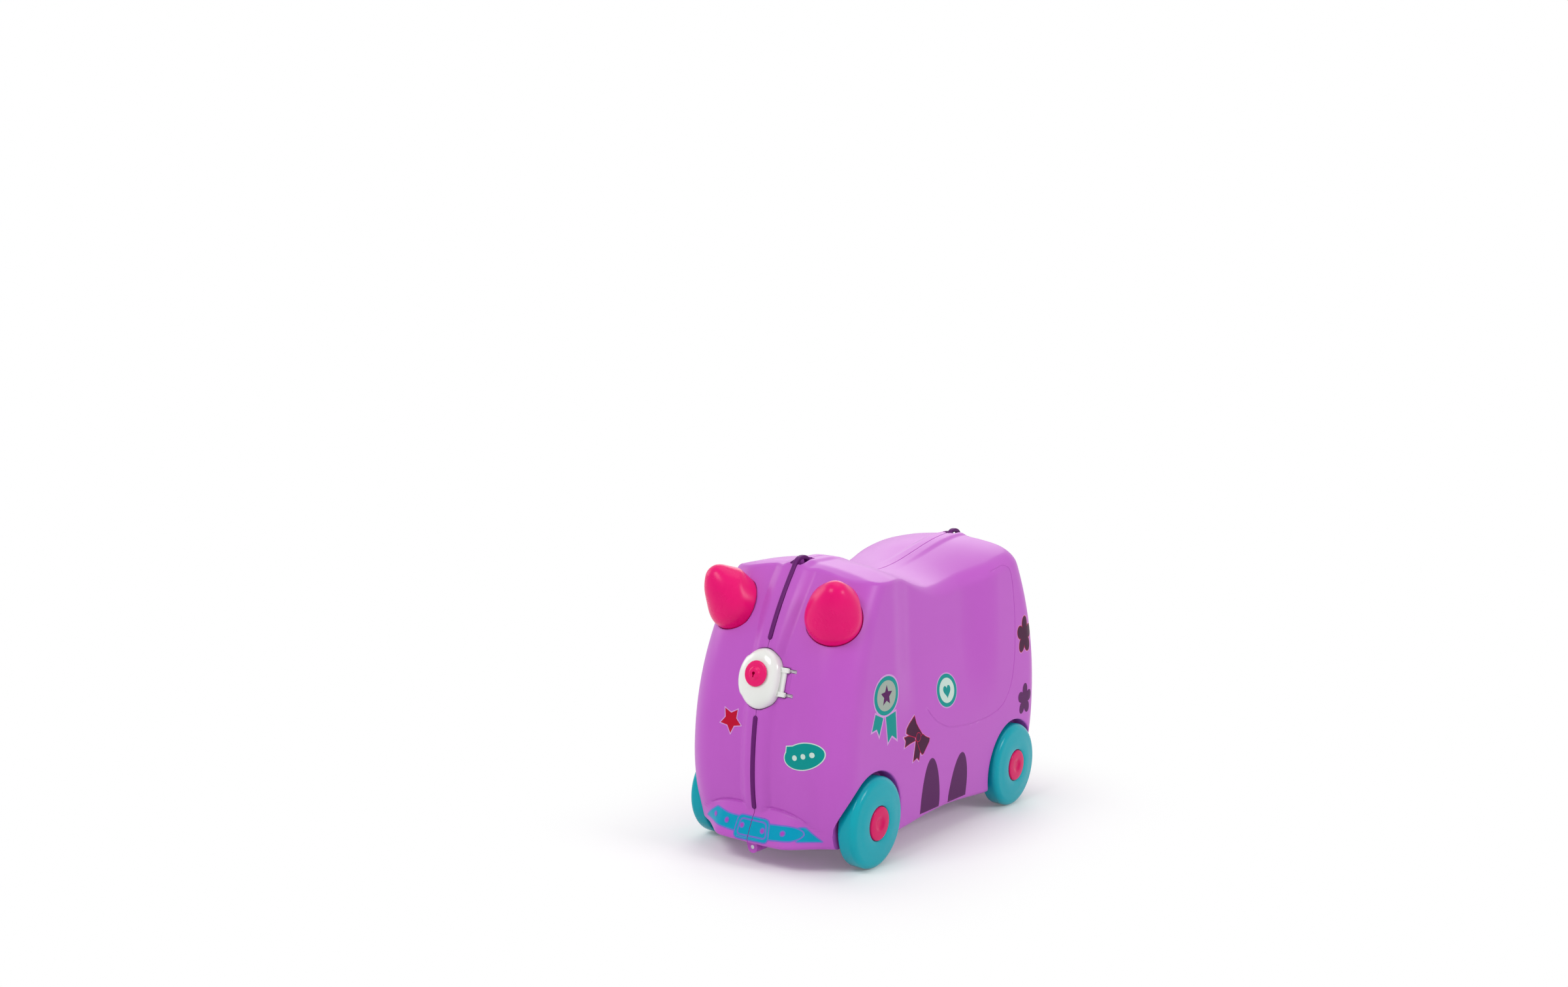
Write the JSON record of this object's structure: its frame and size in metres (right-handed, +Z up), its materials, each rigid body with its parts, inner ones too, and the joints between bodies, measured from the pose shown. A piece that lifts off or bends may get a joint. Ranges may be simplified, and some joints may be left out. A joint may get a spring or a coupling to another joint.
{
  "type": "ride-on suitcase",
  "caption": "Child's ride-on suitcase: hinged moulded halves with a saddle, steering grips, wheels, seam trim and an oval catch with key lock at each end.",
  "frame": {"origin": "middle of the case's length and width, on the floor under the wheels", "axes": "+Z up, +Y toward the rear along the length, +X toward the right half (the side that swings open)"},
  "size_m": [0.2086, 0.4563, 0.3052],
  "materials": {
    "shell": "moulded ABS, satin gloss",
    "trim": "soft strip, satin",
    "grip": "moulded, satin",
    "wheel": "moulded, glossy",
    "cap": "moulded, satin gloss",
    "cover": "moulded, glossy",
    "knob": "moulded, satin",
    "steel": "zinc plated"
  },
  "bodies": {
    "case_left": {"case_left": "shell", "hinge_pin_front": "steel", "hinge_pin_middle": "steel", "hinge_pin_rear": "steel", "trim_front_upper": "trim", "trim_front_lower": "trim", "trim_rear_upper": "trim", "trim_rear_lower": "trim", "grip_left": "grip", "axle_front_left": "steel", "axle_rear_left": "steel", "keeper_front": "steel", "keeper_rear": "steel"},
    "case_right": {"case_right": "shell", "grip_right": "grip", "axle_front_right": "steel", "axle_rear_right": "steel", "catch_pin_front": "steel", "catch_pin_rear": "steel"},
    "catch_front": {"catch_cover_front": "cover"},
    "catch_rear": {"catch_cover_rear": "cover"},
    "lock_front": {"lock_barrel_front": "knob", "lock_cam_front": "steel"},
    "lock_rear": {"lock_barrel_rear": "knob", "lock_cam_rear": "steel"},
    "wheel_front_left": {"wheel_front_left": "wheel", "hub_cap_front_left": "cap"},
    "wheel_front_right": {"wheel_front_right": "wheel", "hub_cap_front_right": "cap"},
    "wheel_rear_left": {"wheel_rear_left": "wheel", "hub_cap_rear_left": "cap"},
    "wheel_rear_right": {"wheel_rear_right": "wheel", "hub_cap_rear_right": "cap"}
  },
  "joints": [
    {"name": "case_hinge", "type": "hinge", "parent": "case_left", "child": "case_right", "pos_m": [0, 0, 0.0185], "axis": [0, 1, 0], "range_deg": [0, 148]},
    {"name": "catch_front_hinge", "type": "hinge", "parent": "case_right", "child": "catch_front", "pos_m": [0.0335, -0.20201, 0.18601], "axis": [0, 0.2419, 0.9703], "range_deg": [0, 75]},
    {"name": "catch_rear_hinge", "type": "hinge", "parent": "case_right", "child": "catch_rear", "pos_m": [0.0335, 0.20451, 0.18601], "axis": [0, 0.2419, -0.9703], "range_deg": [0, 75]},
    {"name": "lock_front_turn", "type": "hinge", "parent": "catch_front", "child": "lock_front", "pos_m": [0, -0.21103, 0.19238], "axis": [0, -0.9703, 0.2419], "range_deg": [0, 90]},
    {"name": "lock_rear_turn", "type": "hinge", "parent": "catch_rear", "child": "lock_rear", "pos_m": [0, 0.21353, 0.19238], "axis": [0, -0.9703, -0.2419], "range_deg": [0, 90]},
    {"name": "wheel_front_left_spin", "type": "hinge", "parent": "case_left", "child": "wheel_front_left", "pos_m": [-0.093, -0.146, 0.0465], "axis": [1, 0, 0], "continuous": true},
    {"name": "wheel_front_right_spin", "type": "hinge", "parent": "case_right", "child": "wheel_front_right", "pos_m": [0.093, -0.146, 0.0465], "axis": [1, 0, 0], "continuous": true},
    {"name": "wheel_rear_left_spin", "type": "hinge", "parent": "case_left", "child": "wheel_rear_left", "pos_m": [-0.093, 0.146, 0.0465], "axis": [1, 0, 0], "continuous": true},
    {"name": "wheel_rear_right_spin", "type": "hinge", "parent": "case_right", "child": "wheel_rear_right", "pos_m": [0.093, 0.146, 0.0465], "axis": [1, 0, 0], "continuous": true}
  ]
}
